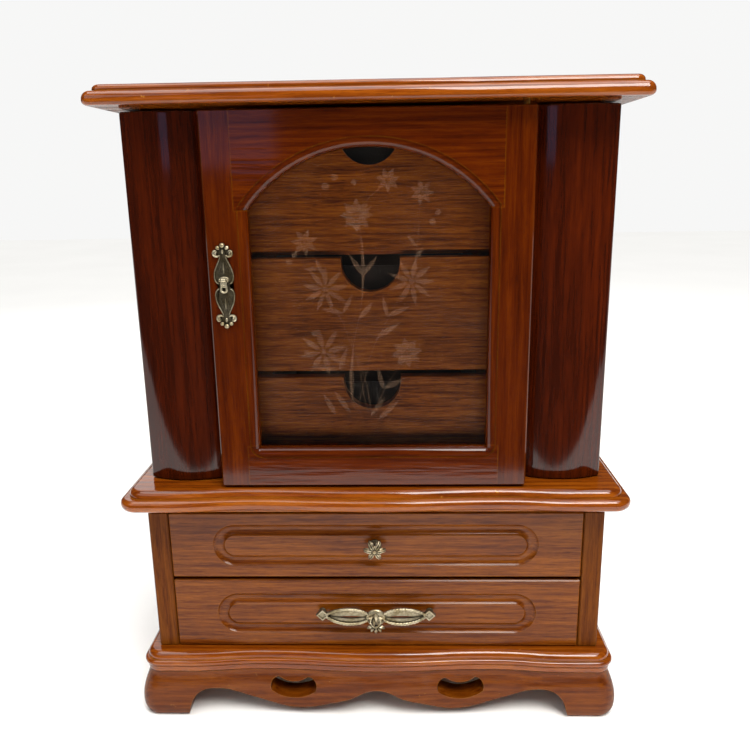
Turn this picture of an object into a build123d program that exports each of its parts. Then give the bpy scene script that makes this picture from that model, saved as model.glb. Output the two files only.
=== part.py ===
"""Countertop jewelry armoire: a serpentine base with two drawers, and an upper case with a glazed
door, three inner drawers and two swing-out necklace wings.

Frame: millimetres, +Z up, +Y towards the back, origin on the floor at the middle of the plan.
"""
from build123d import *
from math import sqrt
import os

os.makedirs("parts", exist_ok=True)

# ---- overall sizes ----
depth = 190.0  # lid's front edge to the flush back
case_width = 290.0  # lower case, over its sides
lid_width = 300.0
upper_width = 281.4  # over the closed wings
door_width = 183.6

# ---- heights of the storeys, from the floor up ----
base_h = 31.0
plinth_h = 13.0
lower_h = 96.5
ledge_h = 22.7
upper_h = 222.3
lid_h = 11.0

# ---- front planes, measured forward of the lower drawer fronts ----
lid_reach = 27.0
ledge_reach = 24.0
door_reach = 13.0
base_front_extra = 1.5  # the base mouldings project this much more in front than at the sides

# ---- board thicknesses ----
side_t = 12.5
back_t = 8.0
lower_back_t = 4.0
shelf_t = 4.0
partition_t = 8.0
inner_shelf_t = 3.0
sub_top_t = 9.0
door_t = 14.5
wing_side_t = 8.0
wing_column_t = 9.5
apron_inset = 3.0  # inner face of the aprons, inside the lower case's outer face

# ---- mouldings ----
wave = 3.0  # depth of the serpentine front
wave_dip = 75.0  # from the middle to the dip
wave_crest = 125.0  # from the middle to the outer crest
plan_corner = 11.0
arris = 0.5  # eased edge of a board

# overhang of the bracket base beyond the lower case at each height
foot_profile = [(0.0, 9.8), (2.5, 11.4), (8.0, 12.4), (14.0, 12.2), (22.0, 10.4), (base_h, 7.8)]

# plinth: lower band, bead, upper ovolo as (height, overhang, bottom fillet, top fillet)
plinth_layers = [(4.6, 8.6, 1.6, 0.9), (3.8, 9.8, 1.8, 1.7), (4.6, 8.0, 0.0, 3.9)]
# ledge: a flush panel over the lower case, then bullnose and ovolo
ledge_panel_h = 10.1
ledge_layers = [(8.0, 10.2, 4.6, 3.2), (4.6, 5.8, 0.0, 4.0)]
# lid: bullnose and ovolo, as (height, set back from the lid's edge, bottom fillet, top fillet)
lid_layers = [(7.6, 0.0, 2.6, 4.6), (3.4, 4.4, 0.0, 3.0)]
lid_corner = 5.0

# ---- running clearances ----
drawer_gap = 0.5  # beside, under and over a drawer box
front_gap = 0.5  # round a lower drawer's front
wing_gap = 1.0  # over and under a wing
door_gap = 1.5  # under the door
door_top_gap = 2.1
pin_fit = 0.05  # radial clearance of a turning pin
lining_fit = 0.2

# ---- doors and drawers ----
door_pivot_in = 5.0  # pivot axis, in from the door's right edge
door_pivot_back = 7.0  # and back from its front face
pivot_pin_r = 1.6
pivot_pin_reach = 5.0
pivot_pin_seat = 10.0
pivot_bore = 7.5  # depth of the pivot bores in the ledge and the lid
rail_joint = 75.0  # joint between rails and stiles, from the middle
glass_w = 135.8
glass_bottom = 23.5  # opening's lower edge above the door's bottom
glass_side_h = 141.2  # straight side of the opening
glass_rise = 33.5  # rise of the arch
lip_w = 5.4
lip_step = 1.0
lip_round = 4.0
lip_corner = 8.0
glass_set = 6.5  # front of the pane behind the door's front
glass_t = 2.0
rabbet = 4.0
glass_fit = 0.3
stop_t = 3.0

lower_front_t = 12.0
lower_upper_h = 45.1  # height of the upper one of the two lower drawer fronts
lower_lower_h = 48.0
front_split = 2.4  # gap between the two fronts
inner_front_t = 8.0
inner_set = 8.0  # inner drawer fronts behind the lower drawers' front plane
inner_heights = {"bottom": 63.8, "middle": 69.1, "top": 69.4}
notch_r = 17.5
notch_straight = 3.0
box_t = 5.0
box_bottom_t = 3.0
box_drop = 5.0  # drawer sides stop this far below the front's top
lining_t = 0.8
drawer_back_gap = 6.0

groove_w = 201.2  # stadium groove of the lower fronts, on its centre line
groove_h = 21.4
groove_r = 4.6
groove_out = 2.6  # groove cutter's centre in front of the face

# ---- wings ----
wing_inner = 93.0  # inner edge of a column, from the middle
column_inner_set = 3.5  # column's front behind the drawer front plane: at its inner edge,
column_outer_set = 4.0  # at its outer edge,
column_peak = 117.0  # and at its peak, this far from the middle,
column_bow = 2.0  # where it stands forward of that plane
hinge_leaf_t = 0.6
hinge_leaf_gap = 0.4
hinge_r = 1.5
hinge_pin_r = 0.8
hinge_offset = 1.8  # pin axis outside the wing
hinge_h = 24.0
hinge_leaf_w = 7.0
hinge_inset = 36.0  # hinge's middle from the wing's ends
hook_count = 6
hook_wire_r = 0.8
hook_r = 3.4
hook_drop = 3.0
hook_rail = 10.0
magnet_r = 3.0
magnet_l = 6.0
strike_t = 0.7

# ---- hardware ----
plate_x = -82.5
plate_up = 122.9  # latch plate's middle above the door's bottom
plate_t = 1.4
pull_axis_up = 3.6  # drop pull's axis above the plate's middle
pull_w = 2.8
pull_l = 7.6
pull_r = 1.1
pull_pin_r = 0.5
ear_t = 1.0
pull_side_gap = 0.3
knob_r = 7.0
knob_stem = 7.0
leaf_span = 79.0
leaf_post_x = 35.1  # posts behind the leaf pull's diamond ends
leaf_standoff = 5.0
screw_r = 1.5
screw_head_r = 3.0
screw_head_h = 1.8
screw_bite = 4.0

# ---- derived places ----
back_y = depth / 2
lid_front = -depth / 2
face_y = lid_front + lid_reach  # plane of the lower drawer fronts
case_half = case_width / 2
inner_half = case_half - side_t
plinth_z = base_h
lower_z = plinth_z + plinth_h
ledge_z = lower_z + lower_h
upper_z = ledge_z + ledge_h
lid_z = upper_z + upper_h
ledge_front = face_y - ledge_reach
door_front = face_y - door_reach
door_back = door_front + door_t
door_half = door_width / 2
door_z = upper_z + door_gap
door_top = lid_z - door_top_gap
pivot_x = door_half - door_pivot_in
pivot_y = door_front + door_pivot_back
upper_half = upper_width / 2
upper_back_y = back_y - back_t
inner_face = face_y + inner_set
partition_y = door_back + 1.0
partition_half = 73.0  # inner face of the partitions
sub_top_z = lid_z - sub_top_t
wing_z = upper_z + wing_gap
wing_top = lid_z - wing_gap
column_back = face_y + column_inner_set + wing_column_t
wing_back = upper_back_y - 2 * hinge_leaf_t - hinge_leaf_gap


def save(piece, node):
    """Label a finished piece and write it as its own STEP file."""
    piece.part.label = node
    export_step(piece.part, f"parts/{node}.step")


def save_group(pieces, node):
    """Write several separate solids as one node."""
    group = Compound(label=node, children=[piece.part for piece in pieces])
    export_step(group, f"parts/{node}.step")


def front_plane(x, y, z):
    """A sketch plane that faces the front, with its x along +X and its y upward."""
    return Plane(origin=(x, y, z), x_dir=(1, 0, 0), z_dir=(0, -1, 0))


def mirrored(piece):
    """The same piece on the other side of the middle plane."""
    with BuildPart() as other:
        mirror(piece.part, about=Plane.YZ)
    return other


def save_pair(right, node):
    """Write a right-hand piece and its mirror image."""
    save(right, f"{node}_right")
    save(mirrored(right), f"{node}_left")


def board(x, y, z, eased=0.0):
    """A square board between (low, high) pairs on each axis, with its edges eased."""
    with BuildPart() as piece:
        with BuildSketch(Plane.XY.offset(z[0])):
            with Locations(((x[0] + x[1]) / 2, (y[0] + y[1]) / 2)):
                Rectangle(x[1] - x[0], y[1] - y[0])
        extrude(amount=z[1] - z[0])
        if eased:
            chamfer(piece.edges(), eased)
    return piece


def serpentine_plan(z, half, front, corner):
    """Plan of a moulded board: straight sides and back, rounded corners, serpentine front."""
    mid_y = front + wave / 2
    with BuildSketch(Plane.XY.offset(z)) as plan:
        with BuildLine():
            a = TangentArc((0, front), (wave_dip / 2, mid_y), tangent=(1, 0))
            b = TangentArc(a @ 1, (wave_dip, front + wave), tangent=a % 1)
            c = TangentArc(b @ 1, ((wave_dip + wave_crest) / 2, mid_y), tangent=b % 1)
            d = TangentArc(c @ 1, (wave_crest, front), tangent=c % 1)
            e = Line(d @ 1, (half - corner, front))
            f = TangentArc(e @ 1, (half, front + corner), tangent=(1, 0))
            g = Line(f @ 1, (half, back_y))
            Line(g @ 1, (0, back_y))
            mirror(about=Plane.YZ)
        make_face()
    return plan.sketch


def straight_plan(z, half, front, corner):
    """Plan of a moulded board with a straight front and rounded front corners."""
    with BuildSketch(Plane.XY.offset(z)) as plan:
        with Locations((0, (front + back_y) / 2)):
            Rectangle(2 * half, back_y - front)
        fillet(plan.vertices().group_by(Axis.Y)[0], corner)
    return plan.sketch


def bored(piece, start, direction, radius, length):
    """The piece with a round bore that starts at a point and runs the given way."""
    with BuildPart() as result:
        add(piece.part)
        with BuildSketch(Plane(start, z_dir=direction)):
            Circle(radius)
        extrude(amount=length, mode=Mode.SUBTRACT)
    return result


def rod(start, direction, radius, length, eased=0.0):
    """A round rod that starts at a point and runs the given way, with its far end eased."""
    with BuildPart() as piece:
        with BuildSketch(Plane(start, z_dir=direction)):
            Circle(radius)
        extrude(amount=length)
        if eased:
            chamfer(piece.edges().filter_by(GeomType.CIRCLE), eased)
    return piece


def round_rim(face, radius):
    """Round a face's front and side edges, leaving the edge on the flush back square."""
    fillet(face.edges().filter_by(lambda edge: edge.center().Y < back_y - 1), radius)


def moulded_board(z, layers, half, front, corner, plan_shape):
    """A board of stacked layers, each given as (height, overhang, lower and upper rounding)."""
    strips = []
    for height, over, low_round, high_round in layers:
        with BuildPart() as strip:
            extrude(plan_shape(z, half + over, front - over, corner), amount=height)
            if low_round:
                round_rim(strip.faces().sort_by(Axis.Z)[0], low_round)
            if high_round:
                round_rim(strip.faces().sort_by(Axis.Z)[-1], high_round)
        strips.append(strip.part)
        z += height
    with BuildPart() as piece:
        add(strips)
    return piece


# ==== bracket base ====
base_front = face_y - base_front_extra
apron_half = case_half - apron_inset  # inner faces of the aprons
apron_front_y = face_y + apron_inset
mitre_run = 40.0  # the mitre planes are cut well past the corner

with BuildPart() as base_blank:
    for height, over in foot_profile:
        add(serpentine_plan(height, case_half + over, base_front - over, plan_corner))
    loft()

foot_inner = 125.5
arch_x = 109.0
arch_z = 20.2
scallop_x = 51.0
scallop_z = 5.4
centre_z = 19.2

# kidney-shaped cut-outs in the front apron
bean_x = 55.0
bean_z = 17.6
bean_half = 14.6
bean_sag = 4.8
bean_hump = 9.6
bean_top = 8.6
bean_end = 5.4
bean_waist = 5.6

with BuildPart() as apron_front:
    with BuildSketch():
        with BuildLine():
            Polyline(
                (-apron_half, apron_front_y),
                (apron_half, apron_front_y),
                (apron_half + mitre_run, apron_front_y - mitre_run),
                (-apron_half - mitre_run, apron_front_y - mitre_run),
                close=True,
            )
        make_face()
    extrude(amount=base_h)
    add(base_blank.part, mode=Mode.INTERSECT)
    with BuildSketch(Plane.XZ.offset(-apron_front_y)):
        with BuildLine():
            middle = Spline(
                (0, centre_z), (17, 13.4), (31, 9.6), (scallop_x, scallop_z),
                tangents=[(1, 0), (1, 0)],
            )
            flank = Spline(
                middle @ 1, (73, 10.4), (90, 16.2), (arch_x, arch_z),
                tangents=[(1, 0), (1, 0)],
            )
            shoulder = TangentArc(flank @ 1, (foot_inner - 2.5, 9.0), tangent=(1, 0))
            inner_leg = Line(shoulder @ 1, (foot_inner, 0))
            Polyline(inner_leg @ 1, (foot_inner, -1), (0, -1))
            mirror(about=Plane.YZ)
        make_face()
    extrude(amount=mitre_run, mode=Mode.SUBTRACT)
    with BuildSketch(Plane.XZ.offset(-apron_front_y)):
        for side in (-1, 1):
            middle_x = side * bean_x
            with BuildLine():
                low = ThreePointArc(
                    (middle_x - bean_half, bean_z),
                    (middle_x, bean_z - bean_sag),
                    (middle_x + bean_half, bean_z),
                )
                right = ThreePointArc(
                    low @ 1,
                    (middle_x + bean_half, bean_z + bean_end),
                    (middle_x + bean_hump, bean_z + bean_top),
                )
                top = ThreePointArc(
                    right @ 1, (middle_x, bean_z + bean_waist), (middle_x - bean_hump, bean_z + bean_top)
                )
                ThreePointArc(top @ 1, (middle_x - bean_half, bean_z + bean_end), low @ 0)
            make_face()
    extrude(amount=mitre_run, mode=Mode.SUBTRACT)
save(apron_front, "apron_front")

side_foot_front = face_y + 28.0
side_foot_back = back_y - 34.0
side_arch_r = 10.0

with BuildPart() as apron_side:
    with BuildSketch():
        with BuildLine():
            Polyline(
                (apron_half, apron_front_y),
                (apron_half + mitre_run, apron_front_y - mitre_run),
                (apron_half + mitre_run, back_y),
                (apron_half, back_y),
                close=True,
            )
        make_face()
    extrude(amount=base_h)
    add(base_blank.part, mode=Mode.INTERSECT)
    with BuildSketch(Plane.YZ.offset(apron_half)):
        with Locations(((side_foot_front + side_foot_back) / 2, 0)):
            side_arch = Rectangle(side_foot_back - side_foot_front, 2 * arch_z)
        fillet(side_arch.vertices(), side_arch_r)
    extrude(amount=mitre_run, mode=Mode.SUBTRACT)
save_pair(apron_side, "apron_side")

apron_back_t = 10.0
apron_back_lift = 9.0
apron_back = board(
    (-apron_half, apron_half), (back_y - apron_back_t, back_y), (apron_back_lift, base_h), arris
)
save(apron_back, "apron_back")

block = 18.0
block_h = 24.0
corner_blocks = []
for x_side in (-1, 1):
    for block_y in (apron_front_y, back_y - apron_back_t - block):
        low = min(x_side * apron_half, x_side * (apron_half - block))
        span_y = (block_y, block_y + block)
        corner_blocks.append(board((low, low + block), span_y, (base_h - block_h, base_h), 1.0))
save_group(corner_blocks, "corner_blocks")

plinth_board = moulded_board(
    plinth_z, plinth_layers, case_half, base_front, plan_corner, serpentine_plan
)
save(plinth_board, "plinth_board")

# ==== lower case ====
base_side = board((inner_half, case_half), (face_y, back_y), (lower_z, ledge_z), 0.8)
save_pair(base_side, "base_side")
base_back = board(
    (-inner_half, inner_half), (back_y - lower_back_t, back_y), (lower_z, ledge_z)
)
save(base_back, "base_back_panel")

lower_top_z = lower_z + front_gap + lower_lower_h  # top of the lower front
upper_low_z = lower_top_z + front_split  # bottom of the upper front
shelf_z = (lower_top_z + upper_low_z - shelf_t) / 2
dust_shelf = board(
    (-inner_half, inner_half),
    (face_y + lower_front_t + front_gap, back_y - lower_back_t),
    (shelf_z, shelf_z + shelf_t),
)
save(dust_shelf, "dust_shelf")

ledge_moulding = moulded_board(
    ledge_z + ledge_panel_h,
    ledge_layers,
    case_half,
    ledge_front + ledge_layers[0][1],
    plan_corner,
    serpentine_plan,
)
ledge_panel = board(
    (-case_half, case_half), (face_y, back_y), (ledge_z, ledge_z + ledge_panel_h), 0.8
)
with BuildPart() as waist_ledge:
    add(ledge_moulding.part)
    add(ledge_panel.part)
waist_ledge = bored(
    waist_ledge, (pivot_x, pivot_y, upper_z), (0, 0, -1), pivot_pin_r + pin_fit, pivot_bore
)
save(waist_ledge, "waist_ledge")

# ==== upper case ====
upper_back = board((-upper_half, upper_half), (upper_back_y, back_y), (upper_z, lid_z), arris)
save(upper_back, "upper_back_panel")

door_magnet_z = door_z + plate_up  # behind the latch plate
partition = board(
    (partition_half, partition_half + partition_t),
    (partition_y, upper_back_y),
    (upper_z, sub_top_z),
)
partition_middle = partition_half + partition_t / 2
save(partition, "partition_right")
door_magnet_place = (-partition_middle, partition_y, door_magnet_z)
partition_left = bored(mirrored(partition), door_magnet_place, (0, 1, 0), magnet_r, magnet_l)
save(partition_left, "partition_left")

sub_top_half = upper_half - wing_side_t - wing_gap
sub_top_y = column_back + 1.0
sub_top = board((-sub_top_half, sub_top_half), (sub_top_y, upper_back_y), (sub_top_z, lid_z))
wing_magnet_x = 110.0
magnet_places = [door_magnet_place]
for side in (-1, 1):
    magnet_places.append((side * wing_magnet_x, sub_top_y, sub_top_z + sub_top_t / 2))
    sub_top = bored(sub_top, magnet_places[-1], (0, 1, 0), magnet_r, magnet_l)
save(sub_top, "sub_top")

lid_strips = [(height, -set_back, low, high) for height, set_back, low, high in lid_layers]
lid_top = moulded_board(lid_z, lid_strips, lid_width / 2, lid_front, lid_corner, straight_plan)
lid_top = bored(lid_top, (pivot_x, pivot_y, lid_z), (0, 0, 1), pivot_pin_r + pin_fit, pivot_bore)
save(lid_top, "lid_top")

magnets = [rod(place, (0, 1, 0), magnet_r, magnet_l) for place in magnet_places]
save_group(magnets, "magnet_catches")

# ==== drawers ====
inner_drawer_half = partition_half - drawer_gap


def drawer_box(node, half, front_back, z_low, z_high, y_end):
    """Two sides, a back and a bottom behind a drawer front, and a felt tray that lines them."""
    sides = []
    for side in (-1, 1):
        low = min(side * half, side * (half - box_t))
        sides.append(board((low, low + box_t), (front_back, y_end), (z_low, z_high)))
    between = (-half + box_t, half - box_t)
    back = board(between, (y_end - box_t, y_end), (z_low, z_high))
    bottom = board(between, (front_back, y_end - box_t), (z_low, z_low + box_bottom_t))
    save_group([*sides, back, bottom], f"{node}_box")

    tray_half = half - box_t - lining_fit
    tray_front = front_back + screw_head_h + lining_fit
    tray_back = y_end - box_t - lining_fit
    tray_middle = (tray_front + tray_back) / 2
    tray_floor = z_low + box_bottom_t + lining_fit
    with BuildPart() as lining:
        with BuildSketch(Plane.XY.offset(tray_floor)):
            with Locations((0, tray_middle)):
                Rectangle(2 * tray_half, tray_back - tray_front)
        extrude(amount=z_high - 1.0 - tray_floor)
        with BuildSketch(Plane.XY.offset(tray_floor + lining_t)):
            with Locations((0, tray_middle)):
                Rectangle(2 * (tray_half - lining_t), tray_back - tray_front - 2 * lining_t)
        extrude(amount=z_high - tray_floor, mode=Mode.SUBTRACT)
    save(lining, f"{node}_lining")


def lower_front(z_low, height):
    """A lower drawer front with a stadium groove routed round its middle."""
    half = inner_half - front_gap
    end_r = groove_h / 2
    straight = groove_w / 2 - end_r
    middle = front_plane(0, face_y - groove_out, z_low + height / 2)
    with BuildPart() as piece:
        add(board((-half, half), (face_y, face_y + lower_front_t), (z_low, z_low + height), 0.7).part)
        with BuildLine(middle) as groove_path:
            top = Line((-straight, end_r), (straight, end_r))
            right = TangentArc(top @ 1, (straight, -end_r), tangent=top % 1)
            low = Line(right @ 1, (-straight, -end_r))
            TangentArc(low @ 1, top @ 0, tangent=low % 1)
        with BuildSketch(Plane(groove_path.wire() @ 0.2, z_dir=groove_path.wire() % 0.2)):
            Circle(groove_r)
        sweep(path=groove_path.wire(), mode=Mode.SUBTRACT)
    return piece


lower_drawers = {
    "drawer_lower": (lower_z + front_gap, lower_lower_h, lower_z + drawer_gap, shelf_z - drawer_gap),
    "drawer_upper": (upper_low_z, lower_upper_h, shelf_z + shelf_t + drawer_gap, ledge_z - box_drop),
}
handle_bores = {"drawer_lower": (-leaf_post_x, leaf_post_x), "drawer_upper": (0.0,)}
for node, (front_z, front_h, box_z, box_top) in lower_drawers.items():
    front = lower_front(front_z, front_h)
    for bore_x in handle_bores[node]:
        start = (bore_x, face_y, front_z + front_h / 2)
        front = bored(front, start, (0, 1, 0), screw_r, lower_front_t)
    save(front, f"{node}_front")
    drawer_box(
        node,
        inner_half - drawer_gap,
        face_y + lower_front_t,
        box_z,
        min(box_top, front_z + front_h - box_drop),
        back_y - lower_back_t - drawer_back_gap,
    )

inner_z = upper_z + drawer_gap
shelves = []
for level, front_h in inner_heights.items():
    node = f"inner_drawer_{level}"
    front_top = inner_z + front_h
    blank = board(
        (-inner_drawer_half, inner_drawer_half),
        (inner_face, inner_face + inner_front_t),
        (inner_z, front_top),
        arris,
    )
    with BuildPart() as front:
        add(blank.part)
        with BuildSketch(Plane.XZ.offset(-inner_face)):
            with Locations((0, front_top - notch_straight)):
                Circle(notch_r)
                Rectangle(2 * notch_r, 2 * notch_straight + notch_r, align=(Align.CENTER, Align.MIN))
        extrude(amount=-inner_front_t, mode=Mode.SUBTRACT)
    save(front, f"{node}_front")
    drawer_box(
        node,
        inner_drawer_half,
        inner_face + inner_front_t,
        inner_z,
        front_top - box_drop,
        upper_back_y - drawer_back_gap,
    )
    inner_z = front_top + 2 * drawer_gap + inner_shelf_t
    if level != "top":
        shelf_low = front_top + drawer_gap
        shelf_front = inner_face + inner_front_t + box_drop
        shelves.append(
            board(
                (-partition_half, partition_half),
                (shelf_front, upper_back_y),
                (shelf_low, shelf_low + inner_shelf_t),
            )
        )
save_group(shelves, "inner_shelves")

# ==== door ====
door_opening_z = door_z + glass_bottom
door_spring_z = door_opening_z + glass_side_h
arch_radius = (glass_w**2 / 4 + glass_rise**2) / (2 * glass_rise)
arch_centre_z = door_spring_z + glass_rise - arch_radius


def arched_opening(y, grow, corner=0.0):
    """The door's arched opening, grown outward by an even margin, as a sketch facing the front."""
    half = glass_w / 2 + grow
    radius = arch_radius + grow
    low = door_opening_z - grow
    spring = arch_centre_z + sqrt(radius**2 - half**2)
    with BuildSketch(Plane.XZ.offset(-y)) as opening:
        with BuildLine():
            sides = Polyline((-half, spring), (-half, low), (half, low), (half, spring))
            ThreePointArc(sides @ 1, (0, arch_centre_z + radius), sides @ 0)
        make_face()
        if corner:
            fillet(opening.vertices().group_by(Axis.Y)[0], corner)
    return opening.sketch


with BuildPart() as door_blank:
    add(board((-door_half, door_half), (door_front, door_back), (door_z, door_top), 0.7).part)
    extrude(arched_opening(door_back, 0.0), amount=door_t, mode=Mode.SUBTRACT)
    extrude(arched_opening(door_front + lip_step, lip_w, lip_corner), amount=lip_step, mode=Mode.SUBTRACT)
    sunk = door_blank.faces().filter_by(Axis.Y).filter_by_position(
        Axis.Y, door_front + lip_step - 0.01, door_front + lip_step + 0.01
    )
    fillet(sunk.sort_by(SortBy.AREA)[-1].inner_wires()[0].edges(), lip_round)
    rabbet_y = door_front + glass_set
    extrude(arched_opening(door_back, rabbet), amount=door_back - rabbet_y, mode=Mode.SUBTRACT)

rail_cut_low = door_opening_z + 2.0  # joint between bottom rail and stiles
rail_regions = {
    "door_bottom_rail": (door_z, rail_cut_low),
    "door_top_rail": (door_spring_z, door_top),
}
for node, rail_span in rail_regions.items():
    region = board((-rail_joint, rail_joint), (door_front, door_back), rail_span)
    with BuildPart() as rail:
        add(door_blank.part)
        add(region.part, mode=Mode.INTERSECT)
    save(rail, node)

pin_places = {(0, 0, 1): door_top - pivot_pin_seat, (0, 0, -1): door_z + pivot_pin_seat}
stile = board((0, door_half), (door_front, door_back), (door_z, door_top))
with BuildPart() as door_stile:
    add(door_blank.part)
    add(stile.part, mode=Mode.INTERSECT)
    for rail_span in rail_regions.values():
        region = board((-rail_joint, rail_joint), (door_front, door_back), rail_span)
        add(region.part, mode=Mode.SUBTRACT)
door_strike_place = (-partition_middle, door_back - magnet_l, door_magnet_z)
strike_l = magnet_l + strike_t
save(
    bored(mirrored(door_stile), door_strike_place, (0, 1, 0), magnet_r, magnet_l),
    "door_stile_left",
)
pivot_pins = []
for direction, start_z in pin_places.items():
    start = (pivot_x, pivot_y, start_z)
    door_stile = bored(door_stile, start, direction, pivot_pin_r, pivot_pin_seat)
    gap = door_top_gap if direction[2] > 0 else door_gap
    pin_l = pivot_pin_seat + gap + pivot_pin_reach
    pivot_pins.append(rod(start, direction, pivot_pin_r, pin_l, 0.3))
save(door_stile, "door_stile_right")
save_group(pivot_pins, "door_pivot_pins")
save(rod(door_strike_place, (0, 1, 0), magnet_r, strike_l), "door_strike")

with BuildPart() as door_glass:
    extrude(arched_opening(rabbet_y + glass_t, rabbet - glass_fit), amount=glass_t)
save(door_glass, "door_glass")

with BuildPart() as glass_stop_ring:
    extrude(
        arched_opening(rabbet_y + glass_t + stop_t, rabbet - glass_fit / 2),
        amount=stop_t,
    )
    extrude(arched_opening(rabbet_y + glass_t + stop_t, 0.8), amount=stop_t, mode=Mode.SUBTRACT)
save(glass_stop_ring, "door_glass_stop")

# ==== wings ====
with BuildPart() as wing_column:
    with BuildSketch(Plane.XY.offset(wing_z)):
        with BuildLine():
            bow = ThreePointArc(
                (wing_inner, face_y + column_inner_set),
                (column_peak, face_y - column_bow),
                (upper_half, face_y + column_outer_set),
            )
            Polyline(bow @ 1, (upper_half, column_back), (wing_inner, column_back), bow @ 0)
        make_face()
    extrude(amount=wing_top - wing_z)
    fillet(wing_column.edges().filter_by(Axis.Z).sort_by(Axis.Y)[0:2], 2.2)
    fillet(wing_column.faces().sort_by(Axis.Z)[-1].edges().sort_by(Axis.Y)[0:3], 1.2)
wing_strike_place = (wing_magnet_x, column_back - magnet_l / 2, sub_top_z + sub_top_t / 2)
wing_column = bored(wing_column, wing_strike_place, (0, 1, 0), magnet_r, magnet_l / 2)
save_pair(wing_column, "wing_column")
save_pair(rod(wing_strike_place, (0, 1, 0), magnet_r, magnet_l / 2 + strike_t), "wing_strike")

wing_inside = upper_half - wing_side_t
wing_side = board((wing_inside, upper_half), (column_back, wing_back), (wing_z, wing_top), arris)
save_pair(wing_side, "wing_side")

rail_top_z = sub_top_z - 4.0
rail_y = (column_back + 6.0, wing_back - 8.0)
necklace_rail = board(
    (wing_inside - hook_rail, wing_inside), rail_y, (rail_top_z - hook_rail, rail_top_z), 0.8
)
save_pair(necklace_rail, "necklace_rail")

hook_x = wing_inside - hook_rail / 2
hook_z = rail_top_z - hook_rail
hook_pitch = (rail_y[1] - rail_y[0]) / hook_count
necklace_hooks = []
for index in range(hook_count):
    hook_y = rail_y[0] + (index + 0.5) * hook_pitch
    with BuildPart() as hook:
        with BuildLine(Plane.XZ.offset(-hook_y)) as wire:
            shank = Line((hook_x, hook_z), (hook_x, hook_z - hook_drop))
            RadiusArc(shank @ 1, (hook_x - 2 * hook_r, hook_z - hook_drop), hook_r)
        with BuildSketch(Plane(shank @ 0, z_dir=(0, 0, -1))):
            Circle(hook_wire_r)
        sweep(path=wire.wire())
    necklace_hooks.append(hook)
save_group(necklace_hooks, "necklace_hooks_right")
save_group([mirrored(hook) for hook in necklace_hooks], "necklace_hooks_left")

hinge_x = upper_half + hinge_offset
hinge_y = upper_back_y - hinge_leaf_t - hinge_leaf_gap / 2
knuckle_h = hinge_h / 3
leaf_x = upper_half - hinge_leaf_w
leaf_edge = upper_half - 0.2  # leaves stop just short of the wing's outer face


def hinge_half(z_middle, leaf_y, knuckles, bore_r):
    """One leaf of a butt hinge with its knuckles, given as (low, high) about the hinge's middle."""
    with BuildPart() as half:
        add(
            board(
                (leaf_x, leaf_edge),
                (leaf_y, leaf_y + hinge_leaf_t),
                (z_middle - hinge_h / 2, z_middle + hinge_h / 2),
            ).part
        )
        for low, high in knuckles:
            knuckle_z = (z_middle + low, z_middle + high)
            add(board((leaf_edge, hinge_x), (leaf_y, leaf_y + hinge_leaf_t), knuckle_z).part)
            add(rod((hinge_x, hinge_y, z_middle + low), (0, 0, 1), hinge_r, high - low).part)
        if bore_r:
            bore = rod((hinge_x, hinge_y, z_middle - hinge_h), (0, 0, 1), bore_r, 2 * hinge_h)
            add(bore.part, mode=Mode.SUBTRACT)
        else:
            pin_foot = (hinge_x, hinge_y, z_middle - hinge_h / 2)
            add(rod(pin_foot, (0, 0, 1), hinge_pin_r, hinge_h).part)
    return half


knuckle_gap = 0.15
end_knuckles = [(-hinge_h / 2, -knuckle_h / 2 - knuckle_gap), (knuckle_h / 2 + knuckle_gap, hinge_h / 2)]
middle_knuckle = [(-knuckle_h / 2, knuckle_h / 2)]
wing_leaves = []
case_leaves = []
for middle in (wing_z + hinge_inset, wing_top - hinge_inset):
    wing_leaves.append(hinge_half(middle, wing_back, middle_knuckle, hinge_pin_r + pin_fit))
    case_leaves.append(hinge_half(middle, upper_back_y - hinge_leaf_t, end_knuckles, 0.0))
save_group(wing_leaves, "wing_hinge_leaves_right")
save_group([mirrored(leaf) for leaf in wing_leaves], "wing_hinge_leaves_left")
save_group(case_leaves + [mirrored(leaf) for leaf in case_leaves], "case_hinge_leaves")

# ==== hardware ====
plate_z = door_z + plate_up
plate_plane = front_plane(plate_x, door_front, plate_z)
lobe_half = 5.7
lobe_top = 18.2
finial_up = 20.0
finial_beads = [(0.0, 23.2, 1.5), (2.6, 21.8, 1.35), (4.0, 18.4, 1.9)]
bead_h = 0.9  # the cast beads swell this far above the plate

cast_beads = []
for bead_x, bead_up, bead_r in finial_beads:
    for side in (-1, 1) if bead_x else (1,):
        for end in (-1, 1):
            centre = plate_plane * Location((side * bead_x, end * bead_up, 0))
            bead = rod(centre.position, (0, -1, 0), bead_r, plate_t + bead_h)
            with bead:
                fillet(bead.faces().sort_by(Axis.Y)[0].edges(), 0.75 * bead_r)
            cast_beads.append(bead.part)

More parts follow.
